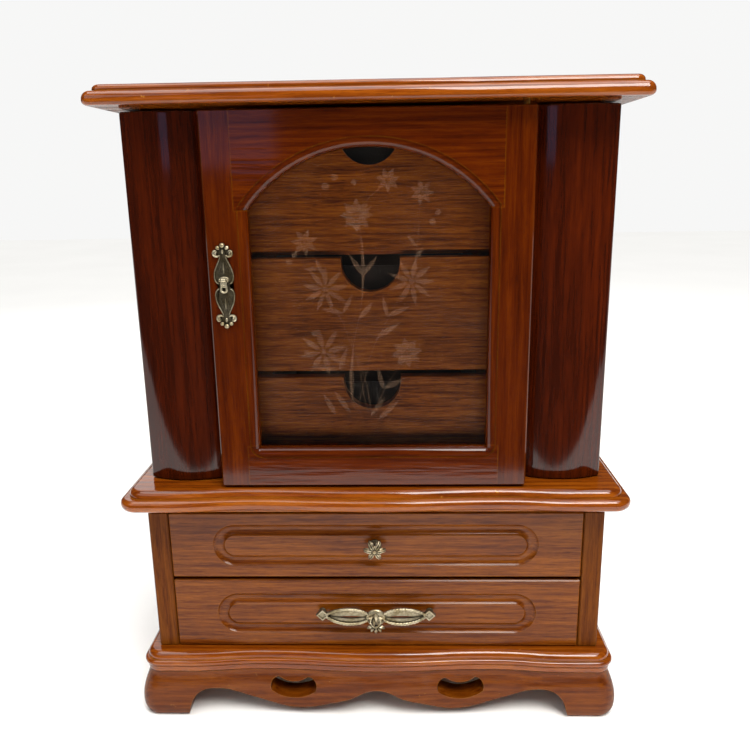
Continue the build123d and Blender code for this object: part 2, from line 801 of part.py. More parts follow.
with BuildPart() as latch_plate:
    for inset, low, height in ((0.0, 0.0, plate_t), (0.9, plate_t - 0.5, 0.5)):
        with BuildSketch(plate_plane.offset(low)):
            with BuildLine():
                cheek = ThreePointArc((3.6, 0), (5.2, 2.4), (lobe_half, 5.4))
                flank = ThreePointArc(cheek @ 1, (4.7, 9.8), (2.7, 14.0))
                neck = Line(flank @ 1, (1.4, lobe_top))
                Line(neck @ 1, (0, lobe_top))
                mirror(about=Plane.XZ)
                mirror(about=Plane.YZ)
            make_face()
            if inset:
                offset(amount=-inset)
            else:
                with Locations((0, finial_up), (0, -finial_up)):
                    Ellipse(3.0, 3.5)
        extrude(amount=height, mode=Mode.SUBTRACT if inset else Mode.ADD)
    add(cast_beads)
    pull_y = plate_t + pull_side_gap + pull_r
    ear_x = pull_w / 2 + pull_side_gap + ear_t / 2
    with BuildSketch(plate_plane.offset(plate_t - 0.5)):
        with Locations((-ear_x, pull_axis_up), (ear_x, pull_axis_up)):
            Rectangle(ear_t, 2 * pull_r)
    extrude(amount=0.5 + pull_side_gap + 2 * pull_r)
    axis_start = plate_plane * Location((-ear_x, pull_axis_up, pull_y))
    add(rod(axis_start.position, (1, 0, 0), pull_pin_r, 2 * ear_x).part)
save(latch_plate, "latch_plate")

pull_disc_r = 2.1
pull_thick = 1.2
pull_start = plate_plane * Location((-pull_w / 2, pull_axis_up, pull_y))
pull_face = plate_plane.offset(pull_y - pull_thick / 2)
with BuildPart() as drop_pull:
    add(rod(pull_start.position, (1, 0, 0), pull_r, pull_w).part)
    with BuildSketch(pull_face):
        with Locations((0, pull_axis_up - pull_l / 2 + pull_disc_r / 2)):
            Rectangle(pull_w, pull_l - pull_disc_r)
        with Locations((0, pull_axis_up - pull_l + pull_disc_r)):
            Circle(pull_disc_r)
    extrude(amount=pull_thick)
    fillet(drop_pull.edges().filter_by(GeomType.CIRCLE).group_by(Axis.Z)[0], 0.35)
    with BuildSketch(pull_face):
        with Locations((0, pull_axis_up - pull_l + pull_disc_r)):
            Circle(1.0)
    extrude(amount=pull_thick, mode=Mode.SUBTRACT)
    add(rod(pull_start.position, (1, 0, 0), pull_pin_r + pin_fit, pull_w).part, mode=Mode.SUBTRACT)
save(drop_pull, "drop_pull")

petal_count = 6
petal_long = 2.9
petal_wide = 1.9
with BuildPart() as petal:
    with BuildSketch():
        Ellipse(petal_long, petal_wide)
        with Locations((0, -petal_wide)):
            Rectangle(2 * petal_long, 2 * petal_wide, mode=Mode.SUBTRACT)
    revolve(axis=Axis.X)

knob_z = upper_low_z + lower_upper_h / 2
knob_plane = front_plane(0, face_y, knob_z)
with BuildPart() as flower_knob:
    with BuildSketch(Plane.YZ):
        with BuildLine():
            foot = Polyline((face_y, knob_z), (face_y, knob_z + 4.2), (face_y - 1.2, knob_z + 4.2))
            neck = ThreePointArc(
                foot @ 1, (face_y - knob_stem / 2, knob_z + 2.4), (face_y - knob_stem, knob_z + 4.6)
            )
            rim = Line(neck @ 1, (face_y - knob_stem - 1.4, knob_z + 4.6))
            Polyline(rim @ 1, (face_y - knob_stem - 2.6, knob_z), foot @ 0)
        make_face()
    revolve(axis=Axis((0, face_y, knob_z), (0, 1, 0)))
    with Locations(knob_plane.offset(knob_stem + 1.0)):
        with PolarLocations(knob_r - petal_long, petal_count):
            add(petal.part)
    with Locations(knob_plane.offset(knob_stem + 2.4)):
        Sphere(1.3)
knob_bore = screw_bite + 1.0
flower_knob = bored(flower_knob, (0, face_y, knob_z), (0, -1, 0), screw_r, knob_bore)
save(flower_knob, "flower_knob")

leaf_z = lower_z + front_gap + lower_lower_h / 2
leaf_plane = front_plane(0, face_y, leaf_z)
leaf_t = 2.6
leaf_in = 5.5  # inner end of a leaf loop
leaf_out = 35.0
leaf_high = 5.6
leaf_ring = 2.3
diamond = 4.4
with BuildPart() as leaf_pull:
    with BuildSketch(leaf_plane.offset(leaf_standoff)):
        for side in (-1, 1):
            for shrink, sink, mode in ((0.0, 0.0, Mode.ADD), (leaf_ring, 0.5, Mode.SUBTRACT)):
                inner = side * (leaf_in + 1.6 * shrink)
                outer = side * (leaf_out - 2.2 * shrink)
                middle = (inner + outer) / 2
                with BuildLine():
                    over = ThreePointArc((inner, -sink), (middle, leaf_high - shrink), (outer, -sink))
                    ThreePointArc(over @ 1, (middle, shrink - leaf_high - 2 * sink), over @ 0)
                make_face(mode=mode)
            with Locations((side * (leaf_span / 2 - diamond), 0)):
                Rectangle(diamond * 1.25, diamond * 1.25, rotation=45)
        Rectangle(2 * leaf_in + 3.0, 3.2)
    extrude(amount=leaf_t)
    with BuildSketch(leaf_plane):
        with Locations((-leaf_post_x, 0), (leaf_post_x, 0)):
            Circle(2.4)
    extrude(amount=leaf_standoff + 0.6)
    with Locations(leaf_plane * Location((0, 0, leaf_standoff + 2.2))):
        Sphere(5.6)
    with Locations(leaf_plane * Location((0, -5.6, leaf_standoff + 1.2))):
        with PolarLocations(2.6, 4, start_angle=200, angular_range=140, endpoint=True):
            add(petal.part)
for side in (-1, 1):
    leaf_pull = bored(
        leaf_pull, (side * leaf_post_x, face_y, leaf_z), (0, -1, 0), screw_r, screw_bite
    )
save(leaf_pull, "leaf_pull")


def screw(x, z):
    """A pan-head screw driven from inside a drawer through its front."""
    inside = face_y + lower_front_t
    with BuildPart() as fastener:
        add(rod((x, inside, z), (0, -1, 0), screw_r, lower_front_t + screw_bite, 0.3).part)
        add(rod((x, inside, z), (0, 1, 0), screw_head_r, screw_head_h, 0.4).part)
        with BuildSketch(Plane((x, inside + screw_head_h, z), z_dir=(0, 1, 0))):
            Rectangle(2 * screw_head_r, 0.8)
        extrude(amount=-0.7, mode=Mode.SUBTRACT)
    return fastener


save(screw(0, knob_z), "knob_screw")
save_group([screw(side * leaf_post_x, leaf_z) for side in (-1, 1)], "pull_screws")
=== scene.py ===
import math

import bmesh
import bpy
from mathutils import Matrix, Vector


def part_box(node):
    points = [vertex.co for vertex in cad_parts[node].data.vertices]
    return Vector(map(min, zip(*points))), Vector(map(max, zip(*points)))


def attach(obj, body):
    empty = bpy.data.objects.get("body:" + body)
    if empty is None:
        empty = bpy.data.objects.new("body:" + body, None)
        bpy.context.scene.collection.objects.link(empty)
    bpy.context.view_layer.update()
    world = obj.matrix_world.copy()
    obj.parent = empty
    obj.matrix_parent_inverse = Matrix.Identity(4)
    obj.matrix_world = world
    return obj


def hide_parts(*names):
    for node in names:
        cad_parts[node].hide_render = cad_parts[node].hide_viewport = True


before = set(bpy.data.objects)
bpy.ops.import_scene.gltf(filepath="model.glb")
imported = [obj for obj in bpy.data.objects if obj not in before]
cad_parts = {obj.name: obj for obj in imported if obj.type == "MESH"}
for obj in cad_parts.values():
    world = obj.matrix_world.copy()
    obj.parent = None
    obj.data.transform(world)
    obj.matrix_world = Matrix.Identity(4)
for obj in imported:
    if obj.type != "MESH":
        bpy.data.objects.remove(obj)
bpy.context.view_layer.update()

MM = 0.001
X, Y, Z = 0, 1, 2

low, high = {}, {}
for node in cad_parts:
    low[node], high[node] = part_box(node)


# ---- materials ----
def rgb(red, green, blue):
    """A colour given as 0-255 sRGB, as the linear RGBA that a socket holds."""
    linear = []
    for channel in (red, green, blue):
        value = channel / 255
        linear.append(value / 12.92 if value <= 0.04045 else ((value + 0.055) / 1.055) ** 2.4)
    return (*linear, 1.0)


class Finish:
    """One material, with short calls for building its nodes."""

    def __init__(self, name, **shader):
        self.material = bpy.data.materials.new(name)
        self.material.use_nodes = True
        self.tree = self.material.node_tree
        self.tree.nodes.clear()
        self.output = self.tree.nodes.new("ShaderNodeOutputMaterial")
        self.shader = self.tree.nodes.new("ShaderNodeBsdfPrincipled")
        self.join(self.shader.outputs[0], self.output.inputs["Surface"])
        for socket, value in shader.items():
            self.shader.inputs[socket.replace("_", " ")].default_value = value

    def join(self, start, end):
        self.tree.links.new(start, end)

    def feed(self, value, end):
        """Links value to a socket, or sets the socket to it."""
        if isinstance(value, bpy.types.NodeSocket):
            self.join(value, end)
        else:
            end.default_value = value

    def drive(self, socket, value):
        self.join(value, self.shader.inputs[socket])

    def place(self, scale=(1, 1, 1), shift=(0, 0, 0)):
        """Object coordinates, scaled and shifted."""
        coords = self.tree.nodes.new("ShaderNodeTexCoord")
        mapping = self.tree.nodes.new("ShaderNodeMapping")
        mapping.inputs["Location"].default_value = shift
        mapping.inputs["Scale"].default_value = scale
        self.join(coords.outputs["Object"], mapping.inputs["Vector"])
        return mapping.outputs[0]

    def noise(self, vector, scale, detail=3.0, roughness=0.55, distortion=0.0):
        node = self.tree.nodes.new("ShaderNodeTexNoise")
        self.join(vector, node.inputs["Vector"])
        node.inputs["Scale"].default_value = scale
        node.inputs["Detail"].default_value = detail
        node.inputs["Roughness"].default_value = roughness
        node.inputs["Distortion"].default_value = distortion
        return node.outputs["Fac"]

    def rings(self, vector, axis, scale, distortion):
        node = self.tree.nodes.new("ShaderNodeTexWave")
        node.wave_type = "RINGS"
        node.rings_direction = "XYZ"[axis]
        self.join(vector, node.inputs["Vector"])
        node.inputs["Scale"].default_value = scale
        node.inputs["Distortion"].default_value = distortion
        node.inputs["Detail"].default_value = 3.0
        node.inputs["Detail Scale"].default_value = 0.4
        return node.outputs["Fac"]

    def ramp(self, value, *stops):
        """Maps value through (position, colour or grey level) stops."""
        node = self.tree.nodes.new("ShaderNodeValToRGB")
        self.join(value, node.inputs["Fac"])
        elements = node.color_ramp.elements
        while len(elements) < len(stops):
            elements.new(0.5)
        for element, (position, colour) in zip(elements, stops):
            element.position = position
            element.color = colour if isinstance(colour, tuple) else (colour, colour, colour, 1.0)
        return node.outputs["Color"]

    def blend(self, share, first, second):
        node = self.tree.nodes.new("ShaderNodeMix")
        node.data_type = "RGBA"
        # a Mix node has its colour sockets after its float and vector ones
        for socket, value in ((0, share), (6, first), (7, second)):
            self.feed(value, node.inputs[socket])
        return node.outputs[2]

    def maths(self, kind, first, second, third=0.0):
        node = self.tree.nodes.new("ShaderNodeMath")
        node.operation = kind
        for socket, value in zip(node.inputs, (first, second, third)):
            self.feed(value, socket)
        return node.outputs[0]

    def bump(self, height, depth, strength, coat=False):
        """Bumps of depth metres, in the shader's normal or its coat's."""
        node = self.tree.nodes.new("ShaderNodeBump")
        node.inputs["Strength"].default_value = strength
        node.inputs["Distance"].default_value = depth
        self.join(height, node.inputs["Height"])
        self.drive("Coat Normal" if coat else "Normal", node.outputs[0])

    def edges(self, radius, start, full):
        """1 at outer and inner edges, 0 on flat and gently curved faces."""
        bevel = self.tree.nodes.new("ShaderNodeBevel")
        bevel.samples = 4
        bevel.inputs["Radius"].default_value = radius
        shape = self.tree.nodes.new("ShaderNodeNewGeometry")
        product = self.tree.nodes.new("ShaderNodeVectorMath")
        product.operation = "DOT_PRODUCT"
        self.join(bevel.outputs[0], product.inputs[0])
        self.join(shape.outputs["Normal"], product.inputs[1])
        return self.ramp(product.outputs["Value"], (1 - full, 1.0), (1 - start, 0.0))

    def hollows(self, reach):
        """0 deep in hollows, 1 on open faces."""
        node = self.tree.nodes.new("ShaderNodeAmbientOcclusion")
        node.samples = 8
        node.inputs["Distance"].default_value = reach
        return node.outputs["AO"]


def drawn_out(along, amount):
    """A scale that is amount along one axis and 1 across it."""
    scale = [1.0, 1.0, 1.0]
    scale[along] = amount
    return scale


def wood(name, along, shift, tones, worn_and_glint, coat, coat_rough, rough, figure=0.07, streaks=1.0, wear_and_glint=0.5,
         pores=0.35, grain=1.3, contrast=1.0, ripple=0.35, chips=0.0):
    """Lacquered wood with its grain along an axis. tones are its dark, middle and light colours.

    figure, streaks and grain set its pattern, ripple the unevenness of its lacquer, and wear and
    chips how much of the worn colour shows at edges and in small spots. Along the edges that colour
    stands for rubbed lacquer and a painted highlight on the arrises together.
    """
    f = Finish(name, Coat_Weight=coat, Coat_Roughness=coat_rough, Specular_IOR_Level=0.0)
    board = f.place(drawn_out(along, 0.05), shift)
    fibre = f.place(drawn_out(along, 0.08), shift)
    loose = f.place(drawn_out(along, 0.4), shift)
    broad = f.noise(board, 60.0, 4.0, 0.6, 1.2)
    grown = f.rings(board, along, 75.0, 22.0)
    fine = f.noise(board, 420.0 * grain, 5.0, 0.72, 0.4)
    thread = f.noise(fibre, 1000.0 * grain, 3.0, 0.6)
    mottle = f.noise(loose, 30.0, 4.0, 0.6)
    broad_share, fine_share, mottle_share = 0.24, 0.60 * streaks, 0.24
    tone = f.maths("MULTIPLY", broad, broad_share)
    for value, weight in ((grown, figure), (fine, fine_share), (mottle, mottle_share)):
        tone = f.maths("MULTIPLY_ADD", value, weight, tone)
    middle = 0.5 * (figure + broad_share + fine_share + mottle_share)
    reach = 0.15 / contrast
    colour = f.ramp(tone, (middle - reach, tones[0]), (middle, tones[1]), (middle + reach, tones[2]))
    pore = f.ramp(thread, (0.32, 1.0), (0.44, 0.0))
    colour = f.blend(f.maths("MULTIPLY", pore, pores), colour, rgb(38, 12, 5))
    # painted highlight: the edge colour is rubbed lacquer and the glint of light on the arrises together
    edge = f.edges(0.0009, 0.02, 0.16)
    rubbed = f.ramp(f.noise(loose, 130.0, 3.0), (0.35, 0.15), (0.62, 1.0))
    edge = f.maths("MULTIPLY", edge, f.maths("MULTIPLY", rubbed, wear_and_glint))
    colour = f.blend(edge, colour, worn_and_glint)
    if chips:
        nick = f.ramp(f.noise(f.place(shift=shift), 230.0, 2.0, 0.6, 1.5), (0.73, 0.0), (0.76, chips))
        colour = f.blend(nick, colour, worn_and_glint)
    f.drive("Base Color", colour)
    f.drive("Roughness", f.maths("MULTIPLY_ADD", fine, 0.18, rough - 0.09))
    f.bump(f.maths("SUBTRACT", fine, f.maths("MULTIPLY", pore, 0.6)), 0.00012, 0.6)
    f.bump(f.noise(fibre, 240.0, 2.0), 0.00022, ripple, coat=True)
    return f.material


def cast_brass(name, face=0.0, start=-2.0, full=-1.0, least=0.12):
    """Antique brass casting with dark patina, rubbed bright from start to full millimetres off its face.

    Where no face is given it is rubbed all over. least is how bright its deepest places are.
    """
    f = Finish(name, Metallic=0.85, Specular_IOR_Level=0.5)
    place = f.place()
    parts = f.tree.nodes.new("ShaderNodeSeparateXYZ")
    f.join(place, parts.inputs[0])
    off = f.maths("SUBTRACT", face - start * MM, parts.outputs["Y"])
    lifted = f.ramp(f.maths("DIVIDE", off, (full - start) * MM), (0.0, 0.0), (1.0, 1.0))
    open_face = f.ramp(f.hollows(0.0022), (0.50, 0.0), (0.97, 1.0))
    speck = f.noise(place, 900.0, 4.0, 0.7)
    patch = f.noise(place, 210.0, 3.0)
    bright = f.ramp(patch, (0.35, rgb(176, 160, 122)), (0.65, rgb(238, 226, 194)))
    dark = f.ramp(speck, (0.35, rgb(20, 16, 10)), (0.65, rgb(60, 49, 29)))
    share = f.maths("MULTIPLY", open_face, f.ramp(speck, (0.25, 0.45), (0.6, 1.0)))
    share = f.maths("MULTIPLY", share, f.maths("MULTIPLY_ADD", lifted, 1 - least, least))
    f.drive("Base Color", f.blend(share, dark, bright))
    f.drive("Roughness", f.maths("MULTIPLY_ADD", share, -0.2, 0.5))
    f.bump(speck, 0.00012, 0.5)
    return f.material


def metal(name, first, second, rough):
    f = Finish(name, Metallic=1.0)
    place = f.place()
    patch = f.noise(place, 120.0, 3.0)
    speck = f.noise(place, 600.0, 3.0, 0.6)
    f.drive("Base Color", f.ramp(patch, (0.35, first), (0.65, second)))
    f.drive("Roughness", f.maths("MULTIPLY_ADD", speck, 0.2, rough - 0.1))
    f.bump(speck, 0.00005, 0.4)
    return f.material


def flock(name):
    f = Finish(name, Roughness=0.95, Sheen_Weight=0.35, Sheen_Roughness=0.4)
    place = f.place()
    nap = f.noise(place, 1600.0, 2.0, 0.7)
    brushed = f.noise(place, 45.0, 3.0)
    tone = f.maths("MULTIPLY_ADD", nap, 0.6, f.maths("MULTIPLY", brushed, 0.4))
    f.drive("Base Color", f.ramp(tone, (0.3, rgb(7, 6, 5)), (0.7, rgb(33, 29, 27))))
    f.drive("Roughness", f.maths("MULTIPLY_ADD", nap, 0.1, 0.88))
    f.bump(nap, 0.0003, 0.8)
    return f.material


def pane(name):
    """Clear glass with a faint film of dust on it."""
    f = Finish(name, Roughness=0.6, Specular_IOR_Level=0.3)
    place = f.place()
    smear = f.noise(place, 24.0, 4.0, 0.6, 0.8)
    f.drive("Base Color", f.ramp(smear, (0.3, rgb(120, 92, 70)), (0.7, rgb(176, 150, 130))))
    clear = f.tree.nodes.new("ShaderNodeBsdfTransparent")
    clear.inputs["Color"].default_value = (0.97, 0.965, 0.95, 1.0)
    film = f.tree.nodes.new("ShaderNodeMixShader")
    f.join(f.ramp(smear, (0.42, 0.0), (0.78, 0.02)), film.inputs[0])
    f.join(clear.outputs[0], film.inputs[1])
    f.join(f.shader.outputs[0], film.inputs[2])
    gloss = f.tree.nodes.new("ShaderNodeBsdfGlossy")
    gloss.inputs["Roughness"].default_value = 0.02
    mirror = f.tree.nodes.new("ShaderNodeFresnel")
    mirror.inputs["IOR"].default_value = 1.45
    top = f.tree.nodes.new("ShaderNodeMixShader")
    f.join(mirror.outputs[0], top.inputs[0])
    f.join(film.outputs[0], top.inputs[1])
    f.join(gloss.outputs[0], top.inputs[2])
    f.join(top.outputs[0], f.output.inputs["Surface"])
    return f.material


def etched(name):
    """Frosted lines on the glass."""
    f = Finish(name, Alpha=0.042, Roughness=0.9, Specular_IOR_Level=0.1)
    place = f.place()
    frost = f.noise(place, 700.0, 3.0, 0.7)
    f.drive("Base Color", f.ramp(frost, (0.3, rgb(150, 112, 84)), (0.7, rgb(196, 158, 128))))
    f.bump(frost, 0.0001, 0.5)
    return f.material


def plain_floor(name):
    f = Finish(name, Roughness=0.7, Specular_IOR_Level=0.2)
    tone = f.noise(f.place(), 3.0, 2.0)
    f.drive("Base Color", f.ramp(tone, (0.3, rgb(250, 250, 249)), (0.7, rgb(253, 253, 252))))
    return f.material


def tinted(colours, gain):
    """sRGB triples made brighter or darker by a gain for each channel, as linear colours."""
    made = []
    for colour in colours:
        linear = rgb(*colour)
        made.append((*(min(1.0, c * g) for c, g in zip(linear, gain)), 1.0))
    return tuple(made)


# dark, middle, light and worn tones of each wood, with the brightness of its three channels; the
# worn tone is also the painted highlight along edges
WOODS = {
    "mahogany_dark": (((58, 16, 6), (84, 27, 10), (112, 40, 14)), (150, 80, 36), (0.38, 0.36, 0.15)),
    "mahogany_red": (((82, 25, 6), (118, 42, 10), (146, 60, 16)), (196, 120, 62), (0.31, 0.32, 0.06)),
    "walnut_brown": (((112, 52, 20), (150, 82, 36), (178, 106, 52)), (214, 150, 92), (0.42, 0.36, 0.10)),
    "walnut_orange": (((124, 56, 14), (168, 88, 28), (198, 116, 48)), (232, 172, 112), (0.48, 0.41, 0.14)),
    "inner_oak": (((92, 42, 8), (146, 82, 22), (180, 112, 40)), (190, 126, 60), (0.76, 0.57, 0.10)),
    "carcass_wood": (((96, 44, 16), (130, 66, 28), (154, 86, 42)), (170, 110, 66), (1.0, 1.0, 1.0)),
    "drawer_wood": (((118, 66, 30), (150, 92, 48), (176, 116, 66)), (196, 144, 96), (1.0, 1.0, 1.0)),
}
FINISHES = {
    "mahogany_dark": dict(coat=0.8, coat_rough=0.08, rough=0.6, wear_and_glint=0.25),
    "mahogany_red": dict(coat=0.7, coat_rough=0.08, rough=0.6, wear_and_glint=0.45),
    "walnut_brown": dict(coat=0.5, coat_rough=0.2, rough=0.55, wear_and_glint=0.5, grain=2.2, contrast=1.4),
    "walnut_orange": dict(
        coat=1.0, coat_rough=0.07, rough=0.5, wear_and_glint=0.75, figure=0.1, ripple=0.9, chips=0.7,
    ),
    "inner_oak": dict(coat=0.25, coat_rough=0.3, rough=0.5, streaks=1.5, pores=0.7, grain=2.4),
    "carcass_wood": dict(coat=0.1, coat_rough=0.4, rough=0.6),
    "drawer_wood": dict(coat=0.1, coat_rough=0.4, rough=0.6),
}
GRAIN = {  # nodes whose grain doesn't run from left to right
    Z: ("wing_column_left", "wing_column_right", "wing_side_left", "wing_side_right",
        "door_stile_left", "door_stile_right", "upper_back_panel", "door_glass_stop",
        "partition_left", "partition_right", "corner_blocks", "base_side_left", "base_side_right"),
    Y: ("apron_side_left", "apron_side_right", "necklace_rail_left", "necklace_rail_right"),
}
SHADE = {  # boards made darker than the rest of their slot
    "apron_front": 0.62, "apron_side_left": 0.62, "apron_side_right": 0.62,
    "base_side_left": 0.74, "base_side_right": 0.74,
}
THIN, SATIN = (0.45, 0.2), (0.2, 0.35)  # weight and roughness of the coat
LACQUER = {  # boards with less lacquer than the rest of their slot
    "apron_front": THIN, "apron_side_left": THIN, "apron_side_right": THIN,
    "wing_side_left": SATIN, "wing_side_right": SATIN,
    "base_side_left": SATIN, "base_side_right": SATIN,
}


def grain_of(node):
    for axis, nodes in GRAIN.items():
        if node in nodes:
            return axis
    return X


OTHER_FINISHES = {
    "antique_brass": cast_brass("antique_brass"),
    "brass": metal("brass", rgb(168, 132, 62), rgb(206, 172, 96), 0.34),
    "steel": metal("steel", rgb(150, 150, 152), rgb(188, 188, 190), 0.32),
    "magnet": metal("magnet", rgb(52, 52, 56), rgb(78, 78, 82), 0.42),
    "black_flock": flock("black_flock"),
    "door_glass": pane("door_glass"),
}


def board_finish(node, slot):
    """Each board gets its own stretch of grain, along its own length."""
    tones, worn_and_glint, gain = WOODS[slot]
    gain = [channel * SHADE.get(node, 1.0) for channel in gain]
    look = dict(FINISHES[slot])
    if node in LACQUER:
        look["coat"], look["coat_rough"] = LACQUER[node]
    order = sorted(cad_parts).index(node)
    shift = [0.013 * order, 0.021 * order + 0.05, 0.017 * order - 0.04]
    shift[grain_of(node)] += 0.31 * order
    return wood(
        f"{slot}.{node}", grain_of(node), shift, tinted(tones, gain), tinted((worn_and_glint,), gain)[0],
        **look,
    )


for node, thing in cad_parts.items():
    slot = thing.material_slots[0].material.name.split(".")[0]
    made = board_finish(node, slot) if slot in WOODS else OTHER_FINISHES[slot]
    for place in thing.material_slots:
        place.material = made


# ---- shapes cast in relief ----
class Relief:
    """A casting seen from the front: u to the right, v up and h out of the face, in millimetres."""

    def __init__(self, x, y, z):
        self.origin = Vector((x, y, z))
        self.mesh = bmesh.new()

    def at(self, u, v, h):
        return self.origin + Vector((u, -h, v)) * MM

    def skin(self, rows, closed_ends=True):
        """Faces between rows of points. Rows close on themselves, and the first and last are capped."""
        made = [[self.mesh.verts.new(self.at(*point)) for point in row] for row in rows]
        count = len(made[0])
        for first, second in zip(made, made[1:]):
            for k in range(count):
                n = (k + 1) % count
                self.mesh.faces.new((first[k], first[n], second[n], second[k]))
        if closed_ends:
            self.mesh.faces.new(list(reversed(made[0])))
            self.mesh.faces.new(made[-1])
        return made

    def tube(self, path, radius, sides=10, closed=False, twist=0.0, strands=0.0):
        """A rod along path, where radius may be a function of the share along it.

        strands makes it a rope, and twist is the rope's turn in radians per millimetre.
        """
        path = [Vector(point) for point in path]
        count = len(path)
        rows = []
        walked = 0.0
        for i, point in enumerate(path):
            before = path[i - 1] if closed or i else point
            after = path[(i + 1) % count] if closed or i + 1 < count else point
            forward = (after - before).normalized()
            side = forward.cross(Vector((0, 0, 1)))
            if side.length < 1e-6:
                side = Vector((1, 0, 0))
            side.normalize()
            out = side.cross(forward).normalized()
            r = radius(i / (count - 1)) if callable(radius) else radius
            walked += (point - path[i - 1]).length if i else 0.0
            row = []
            for k in range(sides):
                angle = 2 * math.pi * k / sides
                swell = 1 + strands * math.cos(2 * (angle - twist * walked))
                row.append(point + (side * math.cos(angle) + out * math.sin(angle)) * r * swell)
            rows.append(row)
        if closed:
            made = self.skin(rows, closed_ends=False)
            for k in range(sides):
                n = (k + 1) % sides
                self.mesh.faces.new((made[-1][k], made[-1][n], made[0][n], made[0][k]))
        else:
            self.skin(rows)

    def dome(self, u, v, h, ru, rv, rh, turn=0.0, steps=14, rings=7):
        """An ellipsoid bead."""
        rows = []
        for i in range(1, rings):
            tilt = math.pi * i / rings
            row = []
            for k in range(steps):
                angle = 2 * math.pi * k / steps
                a = ru * math.sin(tilt) * math.cos(angle)
                b = rv * math.sin(tilt) * math.sin(angle)
                row.append((
                    u + a * math.cos(turn) - b * math.sin(turn),
                    v + a * math.sin(turn) + b * math.cos(turn),
                    h - rh * math.cos(tilt),
                ))
            rows.append(row)
        self.skin(rows)

    def band(self, outer, inner, thick):
        """A solid strip between two paths of the same length, full along its middle."""
        rows = []
        for first, second in zip(outer, inner):
            middle = (first + second) / 2
            rows.append([
                (first.x, first.y, first.z),
                (middle.x, middle.y, middle.z + 0.35),
                (second.x, second.y, second.z),
                (second.x, second.y, second.z - thick),
                (first.x, first.y, first.z - thick),
            ])
        self.skin(rows)

    def lathe(self, u, v, profile, steps=28):
        """profile is (radius, h) from the face outwards."""
        turns = [2 * math.pi * k / steps for k in range(steps)]
        self.skin([
            [(u + r * math.cos(turn), v + r * math.sin(turn), h) for turn in turns] for r, h in profile
        ])

    def plate(self, outline, foot, top, ease):
        """A flat casting with an eased front edge. outline runs anticlockwise."""
        points = [Vector((u, v, 0)) for u, v in outline]
        count = len(points)
        inward = []
        for i, point in enumerate(points):
            forward = (points[(i + 1) % count] - points[i - 1]).normalized()
            inward.append(Vector((-forward.y, forward.x, 0)))
        rows = []
        for inset, h in ((0.0, foot), (0.0, top - ease), (0.35 * ease, top - 0.3 * ease), (ease, top)):
            rows.append([(p.x + n.x * inset, p.y + n.y * inset, h) for p, n in zip(points, inward)])
        self.skin(rows)

    def petal(self, u, v, foot, angle, length, width, rise, ridge, full, thick, tip=0.0):
        """A closed leaf or petal from its root outwards, angle in radians.

        rise is its height and ridge the share of it in a sharp keel. tip lifts its end, and a larger
        full puts its widest place nearer to its end.
        """
        steps, across = 12, 8
        front, back = [], []
        for i in range(steps + 1):
            s = i / steps
            half = 0.5 * width * max(0.04, math.sin(math.pi * s ** full) ** 0.8)
            swell = math.sin(math.pi * (0.12 + 0.80 * s)) ** 0.7
            row = []
            for k in range(across + 1):
                q = 2 * k / across - 1
                arch = (1 - ridge) * (1 - q * q) + ridge * (1 - abs(q))
                h = foot + rise * swell * arch + tip * s
                a, b = s * length, q * half
                row.append((
                    u + a * math.cos(angle) - b * math.sin(angle),
                    v + a * math.sin(angle) + b * math.cos(angle),
                    h,
                ))
            front.append(row)
            back.append([(p[0], p[1], foot + tip * s - thick) for p in reversed(row[1:-1])])
        self.skin([upper + lower for upper, lower in zip(front, back)])

    def finish(self, name, body, material, stands_for=(), smooth=True):
        bmesh.ops.triangulate(self.mesh, faces=[f for f in self.mesh.faces if len(f.verts) > 4])
        bmesh.ops.recalc_face_normals(self.mesh, faces=self.mesh.faces)
        data = bpy.data.meshes.new(name)
        self.mesh.to_mesh(data)
        self.mesh.free()
        thing = bpy.data.objects.new(name, data)
        bpy.context.scene.collection.objects.link(thing)
        data.materials.append(material)
        if smooth:
            data.polygons.foreach_set("use_smooth", [True] * len(data.polygons))
            data.set_sharp_from_angle(angle=math.radians(42))
        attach(thing, body)
        if stands_for:
            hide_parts(*stands_for)


def smooth_path(points, steps=8):
    """A Catmull-Rom curve through the points."""
    points = [Vector(point) for point in points]
    padded = [2 * points[0] - points[1], *points, 2 * points[-1] - points[-2]]
    made = []
    for a, b, c, d in zip(padded, padded[1:], padded[2:], padded[3:]):
        for i in range(steps):
            t = i / steps
            made.append(0.5 * (
                2 * b + (c - a) * t + (2 * a - 5 * b + 4 * c - d) * t ** 2
                + (3 * b - a - 3 * c + d) * t ** 3
            ))
    return made + [points[-1]]


def laid(points, steps, h, side=1, end=1):
    """A smooth path through flat points, h off the face, mirrored where side or end is -1."""
    path = smooth_path([(u, v, 0) for u, v in points], steps)
    return [(side * p.x, end * p.y, h) for p in path]


def mid(node):
    return (low[node] + high[node]) / 2


# ---- latch plate ----
door_face = low["door_stile_left"].y
plate_mid = mid("latch_plate")
latch = Relief(plate_mid.x, door_face, plate_mid.z)
PLATE_TOP = 0.9
quarter_points = [(3.0, 0.0), (4.0, 1.2), (5.2, 3.0), (5.6, 5.4), (5.3, 7.8), (4.4, 10.6), (3.2, 13.2),
                  (2.2, 15.4), (1.7, 17.0), (2.6, 17.2), (3.2, 18.6), (3.0, 20.4), (2.0, 22.0),
                  (0.9, 23.2)]
quarter = [(u, v) for u, v, _ in laid(quarter_points, 3, 0)]
right_side = [(u, -v) for u, v in reversed(quarter[1:])] + quarter
outline = right_side + [(-u, v) for u, v in reversed(right_side)]
latch.plate(outline, 0.0, PLATE_TOP, 0.25)
RIM = [(1.5, 17.0), (2.1, 15.2), (3.1, 13.0), (4.3, 10.4), (5.1, 7.8), (5.35, 5.4), (5.0, 3.3), (4.0, 1.9),
       (2.9, 1.6)]
SCROLL = [(1.7, 17.6), (2.9, 16.9), (4.4, 17.2), (5.2, 18.4), (4.8, 19.8), (3.7, 20.0), (3.2, 19.1)]
VEIN = [(0.2, 15.0), (1.3, 11.5), (2.6, 8.0), (2.2, 5.6)]
